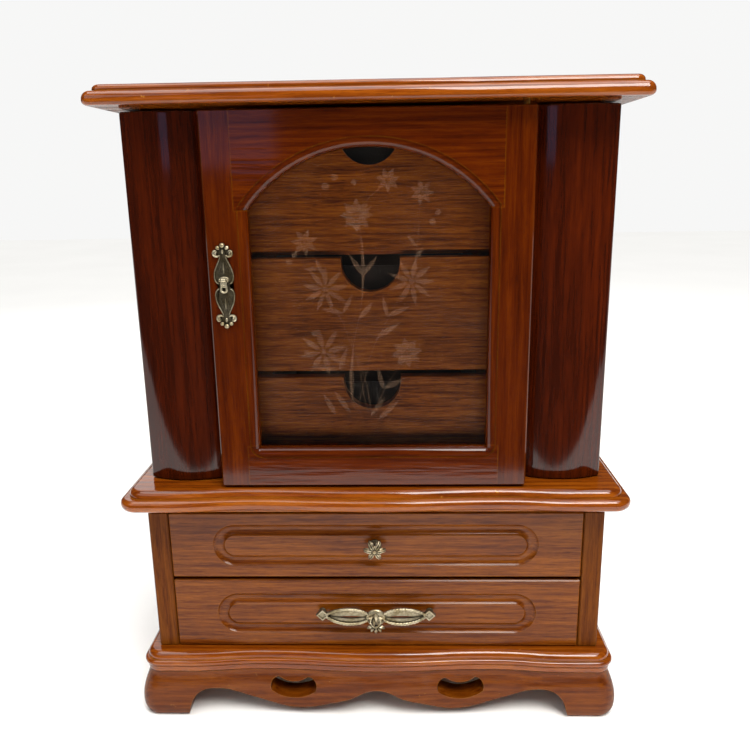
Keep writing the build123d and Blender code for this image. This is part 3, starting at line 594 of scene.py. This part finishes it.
for end in (1, -1):
    for side in (1, -1):
        latch.tube(laid(RIM, 5, 0.95, side, end), lambda s: 0.42 if 0.04 < s < 0.97 else 0.3, sides=8)
        latch.dome(side * 2.55, end * 21.7, PLATE_TOP, 1.35, 1.2, 1.25, turn=side * end * 0.5)
        latch.tube(
            laid(SCROLL, 5, 1.0, side, end),
            lambda s: 0.45 + 0.35 * math.sin(math.pi * min(1, s * 1.1)), sides=8,
        )
        latch.dome(side * 4.1, end * 18.6, 0.95, 0.85, 0.95, 1.1)
        latch.tube(laid(VEIN, 4, 0.92, side, end), lambda s: 0.16 + 0.12 * math.sin(math.pi * s), sides=6)
    latch.dome(0, end * 23.1, 1.0, 1.55, 1.45, 1.5)
    latch.dome(0, end * 19.6, 0.95, 0.8, 1.5, 0.9)
    latch.petal(0, end * 6.4, 0.95, end * math.pi / 2, 8.6, 1.5, 0.5, ridge=0.8, full=0.8, thick=0.3)
pull_mid = mid("drop_pull")
AXIS_DROP = 1.1  # of the pull's axis below its top
EAR = 2.2  # of each ear from the middle
axis_v = (high["drop_pull"].z - plate_mid.z) / MM - AXIS_DROP
axis_h = (door_face - pull_mid.y) / MM
latch.dome(0, axis_v, PLATE_TOP, 3.3, 2.0, 0.9)
for side in (1, -1):
    ear = [(side * EAR, axis_v, h) for h in (0.4, 1.2, 2.0, axis_h)]
    latch.tube(ear, lambda s: 0.62 - 0.08 * s, sides=12)
    latch.dome(side * EAR, axis_v, axis_h, 0.5, 0.95, 0.95)
latch.tube([(u, axis_v, axis_h) for u in (-2.3, -1, 0, 1, 2.3)], 0.48, sides=12)
brass = cast_brass("antique_brass.latch", door_face, 1.05, 1.8)
latch.finish("latch_casting", "door", brass, ("latch_plate",))

# ---- drop pull ----
drop = Relief(plate_mid.x, door_face, plate_mid.z)
tall = (high["drop_pull"].z - low["drop_pull"].z) / MM
foot_v = axis_v + AXIS_DROP - tall
loop = [(0.0, axis_v - 0.1), (-1.2, axis_v - 0.6), (-1.25, axis_v - 2.6), (-1.55, foot_v + 2.6),
        (-1.3, foot_v + 1.2), (0.0, foot_v + 0.62)]
left = smooth_path([(u, v, axis_h) for u, v in loop], 5)
ring = left + [Vector((-p.x, p.y, p.z)) for p in reversed(left[1:-1])]
drop.tube(ring, 0.62, sides=10, closed=True)
barrel = [(u, axis_v, axis_h) for u in (-1.4, -1.3, -0.5, 0.5, 1.3, 1.4)]
drop.tube(barrel, lambda s: 1.08 if 0.1 < s < 0.9 else 0.9, sides=16)
drop.dome(0, axis_v - 1.9, axis_h, 1.35, 1.5, 0.62)
drop.tube([(-1.3, axis_v - 3.6, axis_h), (0, axis_v - 3.75, axis_h), (1.3, axis_v - 3.6, axis_h)], 0.5)
brass = cast_brass("antique_brass.drop", door_face, axis_h - 0.5, axis_h + 0.3)
drop.finish("drop_ring", "drop_pull", brass, ("drop_pull",))

# ---- flower knob ----
drawer_face = low["drawer_upper_front"].y
knob_mid = mid("flower_knob")
knob = Relief(knob_mid.x, drawer_face, knob_mid.z)
knob.lathe(0, 0, [(4.3, 0.0), (4.3, 0.7), (3.9, 1.1), (3.3, 1.3), (2.6, 2.1), (2.3, 3.4), (2.5, 4.8),
                  (2.9, 6.0), (3.4, 6.6), (3.4, 7.0), (3.0, 7.6), (2.0, 8.2), (0.5, 8.4)])
for k in range(6):
    angle = math.radians(60 * k)
    u, v = 1.1 * math.cos(angle), 1.1 * math.sin(angle)
    knob.petal(u, v, 7.7, angle, 6.1, 3.2, 1.3, ridge=0.9, tip=-2.3, full=1.25, thick=0.9)
    for side in (-1, 1):
        wide, narrow = angle + side * 0.19, angle + side * 0.1
        rib = [
            (r * math.cos(turn), r * math.sin(turn), h)
            for r, turn, h in ((2.0, wide, 8.5), (3.6, wide, 8.5), (5.2, narrow, 7.7), (6.7, narrow, 6.3))
        ]
        knob.tube(smooth_path(rib, 4), lambda s: 0.42 - 0.1 * s, sides=6)
knob.dome(0, 0, 8.9, 1.25, 1.25, 1.3)
brass = cast_brass("antique_brass.knob", drawer_face, 5.2, 7.2)
knob.finish("knob_casting", "drawer_upper", brass, ("flower_knob",))

# ---- leaf pull ----
leaf = Relief(0.0, low["drawer_lower_front"].y, mid("drawer_lower_front").z)
span = (high["leaf_pull"].x - low["leaf_pull"].x) / MM / 2
LIFT = 1.8  # of the lobes above the front's middle
POST = 35.1  # of each post from the middle
SWEEP = (6.6, 6.7, 6.6, 6.5, 6.2, 5.7, 5.3)  # how far the lobes stand off, from the bud to the tips
# each lobe has two blades, and a slit between them
UPPER = [(4.4, 1.2), (8.5, 3.6), (13.5, 4.9), (20.0, 5.0), (26.5, 3.8), (31.0, 1.6), (33.6, 0.4)]
LOWER = [(4.4, -1.8), (8.0, -3.8), (13.0, -5.2), (19.5, -5.3), (26.0, -4.0), (30.6, -1.8), (33.6, -0.5)]
SLIT_TOP = [(4.4, 0.0), (8.2, -0.5), (13.2, -0.1), (19.8, -0.1), (25.6, -0.7), (30.8, -0.1), (33.6, 0.1)]
SLIT_LOW = [(4.4, -0.7), (8.2, -1.1), (13.2, -1.9), (19.8, -1.9), (25.6, -1.2), (30.8, -0.3), (33.6, -0.1)]
DIAMOND = [(4.3, 0.0), (0.0, 4.1), (-4.3, 0.0), (0.0, -4.1)]
# share of the diamond's size, and height, from its foot over its rim into its hollow
DIAMOND_STEPS = ((1.0, 3.8), (1.0, 5.6), (0.92, 6.2), (0.66, 6.3), (0.56, 5.8), (0.30, 5.8), (0.06, 5.8))
for side in (1, -1):
    for points, slit, thick in ((UPPER, SLIT_TOP, 0.85), (LOWER, SLIT_LOW, 0.95)):
        rope = smooth_path([(side * u, v + LIFT, h) for (u, v), h in zip(points, SWEEP)], 12)
        leaf.tube(rope, lambda s, t=thick: t * (0.8 + 0.3 * math.sin(math.pi * s)), sides=12,
                  twist=side * 1.5, strands=0.2)
        inner = smooth_path([(side * u, v + LIFT, h - 0.9) for (u, v), h in zip(slit, SWEEP)], 12)
        leaf.band([Vector((p.x, p.y, p.z - 0.7)) for p in rope], inner, 1.3)
    tip_u, tip_v = side * (span - 4.4), LIFT + 0.4
    leaf.skin([
        [(tip_u + u * size, tip_v + v * size, h) for u, v in DIAMOND] for size, h in DIAMOND_STEPS
    ])
    leaf.lathe(side * POST, LIFT, [(2.4, 0.0), (2.4, 0.5), (2.0, 0.9), (1.8, 2.2), (1.8, 5.0)], 20)
leaf.dome(0, 0.8, 6.2, 6.4, 6.0, 1.9, steps=24, rings=12)
for angle, size, tip in ((90, 7.4, 1.0), (35, 7.2, 0.2), (145, 7.2, 0.2), (0, 6.4, 0.0), (180, 6.4, 0.0)):
    a = math.radians(angle)
    leaf.petal(-1.6 * math.cos(a), -1.6 * math.sin(a) - 0.8, 8.0, a, size, 5.2, 2.0, ridge=0.5,
               tip=tip, full=0.9, thick=1.4)
for points in (
    [(-2.6, 3.2, 10.2), (-3.2, 0.2, 10.8), (-1.4, -2.4, 11.2), (0.2, -3.6, 11.0)],
    [(2.8, 3.0, 10.2), (3.2, 0.0, 10.8), (1.6, -2.2, 11.2), (0.2, -3.6, 11.0)],
):
    leaf.tube(smooth_path(points, 6), 0.42, sides=8)
leaf.petal(-0.9, -3.2, 9.6, math.radians(97), 6.4, 2.8, 2.3, ridge=0.8, full=0.9, thick=2.2)
for angle in (205, 238, 270, 302, 335):
    a = math.radians(angle)
    length = 4.8 if angle == 270 else 4.6
    leaf.petal(1.8 * math.cos(a), -4.4 + 1.4 * math.sin(a), 6.6, a, length, 2.5, 1.2, ridge=0.8,
               full=1.15, thick=1.0)
leaf.dome(0, -4.9, 7.7, 1.3, 1.0, 1.1)
brass = cast_brass("antique_brass.leaf", low["drawer_lower_front"].y, 4.8, 7.8, 0.2)
leaf.finish("leaf_casting", "drawer_lower", brass, ("leaf_pull",))

# ---- etched spray on the door's glass ----
spray = Relief(0.0, low["door_glass"].y, 0.0)
SHEET = (0.02, 0.06)  # how far the frost stands off the pane


def frost(points):
    """A thin flat shape; its points are (x, z) in millimetres, anticlockwise."""
    spray.skin([[(u, v, h) for u, v in points] for h in SHEET])


def stem(points, start, end):
    """A curved line that narrows from start to end."""
    path = smooth_path([(u, v, 0) for u, v in points], 8)
    sides = ([], [])
    for i, point in enumerate(path):
        forward = (path[min(i + 1, len(path) - 1)] - path[max(i - 1, 0)]).normalized()
        half = 0.5 * (start + (end - start) * i / (len(path) - 1))
        sides[0].append((point.x - forward.y * half, point.y + forward.x * half))
        sides[1].append((point.x + forward.y * half, point.y - forward.x * half))
    frost(sides[1] + sides[0][::-1])


def blade(u, v, angle, length, width):
    """A slim leaf, pointed at both ends."""
    a = math.radians(angle)
    steps = [i / 12 for i in range(13)]
    edge = [(length * s, 0.5 * width * math.sin(math.pi * s ** 0.8)) for s in steps]
    points = [(s, -w) for s, w in edge] + [(s, w) for s, w in reversed(edge[1:-1])]
    frost([
        (u + p * math.cos(a) - q * math.sin(a), v + p * math.sin(a) + q * math.cos(a))
        for p, q in points
    ])


def berry(u, v, r):
    sides = 14
    turns = [2 * math.pi * k / sides for k in range(sides)]
    frost([(u + r * math.cos(turn), v + r * math.sin(turn)) for turn in turns])


def bloom(u, v, r, count, start, width):
    """An open flower of slim petals round a dotted middle."""
    for k in range(count):
        angle = start + 360 * k / count
        a = math.radians(angle)
        blade(u + 0.16 * r * math.cos(a), v + 0.16 * r * math.sin(a), angle, r, width)
    berry(u, v, 0.13 * r)


for points in (
    [(-2, 208), (-5, 222), (-7, 236), (-12, 252), (-17, 266), (-23, 277)],
    [(-9, 210), (-4, 230), (1, 248), (9, 264), (17, 279), (22, 286)],
    [(-11, 212), (-13, 230), (-10, 252), (-7, 266), (-4, 284), (-3, 300), (-5, 318)],
    [(0, 208), (7, 222), (14, 234), (19, 240)],
    [(-4, 210), (-13, 222), (-19, 232), (-25, 242)],
    [(0, 207), (-3, 226), (-8, 244), (-12, 256)],
    [(-5, 318), (-4, 330), (3, 338), (9, 342)],
    [(22, 286), (26, 300), (28, 318), (29, 334)],
    [(-23, 277), (-27, 292), (-34, 306)],
):
    stem(points, 0.42, 0.28)
for u, v, angle, length, width in (
    (-22, 208, 118, 15, 3.2), (-13, 209, 124, 17, 3.4), (-1, 207, 52, 15, 3.2), (4, 205, 44, 17, 3.4),
    (-4, 292, 122, 14, 2.8), (-4, 292, 52, 14, 2.8), (-16, 270, 168, 13, 2.6), (-16, 270, 62, 13, 2.8),
    (10, 268, 104, 13, 2.8), (10, 268, 24, 14, 3.0), (3, 255, 32, 18, 3.2), (-7, 266, 50, 14, 3.2),
    (7, 224, 104, 14, 2.8), (7, 224, 26, 15, 3.2), (-19, 236, 70, 14, 3.0), (-20, 236, 174, 15, 3.2),
    (26, 300, 60, 10, 2.4), (27, 308, 130, 9, 2.2), (-27, 292, 110, 10, 2.4), (-29, 296, 182, 9, 2.2),
    (-5, 318, 150, 9, 2.4), (-4, 326, 40, 8, 2.2),
):
    blade(u, v, angle, length, width)
for u, v, r, count, start, width in (
    (-26, 284, 12, 9, 8, 3.0), (24, 288, 12, 9, 0, 3.0), (-28, 247, 13, 8, 12, 3.4),
    (21, 246, 8, 8, 10, 4.4), (-7, 326, 8, 8, 0, 4.6), (11, 345, 6, 7, 12, 3.0),
    (30, 338, 6, 7, 0, 3.0), (-37, 311, 7, 7, 20, 3.0),
):
    bloom(u, v, r, count, start, width)
for u, v, r in ((-36, 252, 2.0), (-33, 258, 2.0), (-38, 246, 2.0), (-24, 342, 2.2), (-19, 347, 2.0),
                (-46, 300, 1.8), (-43, 304, 1.6), (36, 322, 1.8), (39, 327, 1.6), (-8, 344, 1.6)):
    berry(u, v, r)
spray.finish("etched_spray", "door", etched("etched_frost"), smooth=False)


# ---- stage, light and camera ----
def flat(name, x0, x1, y0, y1, z, material, glossy=True):
    mesh = bmesh.new()
    corners = [mesh.verts.new(p) for p in ((x0, y0, z), (x1, y0, z), (x1, y1, z), (x0, y1, z))]
    mesh.faces.new(corners)
    data = bpy.data.meshes.new(name)
    mesh.to_mesh(data)
    mesh.free()
    thing = bpy.data.objects.new(name, data)
    bpy.context.scene.collection.objects.link(thing)
    data.materials.append(material)
    thing.visible_glossy = glossy


REACH = 4.0  # of the floor to each side
MIRROR_END = -0.49  # the lacquer mirrors no floor in front of this, as if the room were dark there
FLOOR_Z = -0.0003
floor_finish = plain_floor("floor_pale")
flat("floor_near", -REACH, REACH, MIRROR_END, REACH, FLOOR_Z, floor_finish)
flat("floor_far", -REACH, REACH, -REACH, MIRROR_END, FLOOR_Z, floor_finish, glossy=False)


def softbox(name, place, aim, width, height, watts, colour):
    light = bpy.data.lights.new(name, "AREA")
    light.shape = "RECTANGLE"
    light.size, light.size_y = width, height
    light.energy = watts
    light.color = colour
    thing = bpy.data.objects.new(name, light)
    thing.location = place
    thing.rotation_euler = (Vector(aim) - Vector(place)).to_track_quat("-Z", "Y").to_euler()
    bpy.context.scene.collection.objects.link(thing)
    return thing


for name, *light in (  # place, aim, width, height, watts and colour
    ("key", (0.34, -0.62, 1.05), (0.10, 0.0, 0.15), 0.55, 0.5, 13.0, (1.0, 0.97, 0.92)),
    ("fill", (-0.75, -0.75, 1.0), (0.0, 0.0, 0.15), 0.8, 0.6, 2.5, (1.0, 0.98, 0.95)),
    ("back", (-0.4, 1.3, 0.9), (0.0, 0.0, 0.2), 1.2, 0.8, 5.0, (1.0, 0.99, 0.97)),
    ("window", (-0.50, -1.75, 0.53), (-0.1, 0.0, 0.37), 0.35, 0.3, 0.24, (0.5, 0.55, 1.0)),
    ("bounce", (0.0, -0.62, 0.03), (0.0, 0.0, 0.12), 0.9, 0.25, 2.0, (1.0, 0.96, 0.9)),
):
    softbox(name, *light).visible_glossy = name != "bounce"  # the lacquer doesn't mirror the bounce
sunlight = bpy.data.lights.new("overhead", "SUN")
sunlight.energy = 3.0
sunlight.angle = math.radians(60)
sunlight.color = (1.0, 0.99, 0.97)
overhead = bpy.data.objects.new("overhead", sunlight)
bpy.context.scene.collection.objects.link(overhead)

# the world is pale behind the object and dim for all light that falls on it
world = bpy.data.worlds.new("studio")
bpy.context.scene.world = world
world.use_nodes = True
sky = world.node_tree.nodes
sky.clear()
dim = sky.new("ShaderNodeBackground")
dim.inputs["Color"].default_value = (0.95, 0.97, 1.0, 1.0)
dim.inputs["Strength"].default_value = 0.05
pale = sky.new("ShaderNodeBackground")
pale.inputs["Color"].default_value = (0.93, 0.93, 0.925, 1.0)
pale.inputs["Strength"].default_value = 1.0
path = sky.new("ShaderNodeLightPath")
choice = sky.new("ShaderNodeMixShader")
ground = sky.new("ShaderNodeOutputWorld")
wire = world.node_tree.links
wire.new(path.outputs["Is Camera Ray"], choice.inputs[0])
wire.new(dim.outputs[0], choice.inputs[1])
wire.new(pale.outputs[0], choice.inputs[2])
wire.new(choice.outputs[0], ground.inputs["Surface"])
bpy.context.scene.view_settings.view_transform = "Standard"

EYE = Vector((15.68, -487.93, 346.52)) * MM
YAW, PITCH, ROLL = (math.radians(a) for a in (-1.71, -13.78, -0.89))
SENSOR, LENS = 36.0, 34.66464  # the sensor's width and the focal length, in millimetres
SHIFT = (-0.0024, -0.027426667)  # in widths of the picture
ahead = Vector((math.sin(YAW) * math.cos(PITCH), math.cos(YAW) * math.cos(PITCH), math.sin(PITCH)))
level = Vector((math.cos(YAW), -math.sin(YAW), 0))
rise = level.cross(ahead)
right = level * math.cos(ROLL) + rise * math.sin(ROLL)
up = rise * math.cos(ROLL) - level * math.sin(ROLL)
camera = bpy.data.cameras.new("camera")
camera.sensor_width = SENSOR
camera.lens = LENS
camera.shift_x, camera.shift_y = SHIFT
camera.clip_start = 0.01
camera_object = bpy.data.objects.new("camera", camera)
camera_object.matrix_world = Matrix.Translation(EYE) @ Matrix((right, up, -ahead)).transposed().to_4x4()
bpy.context.scene.collection.objects.link(camera_object)
bpy.context.scene.camera = camera_object
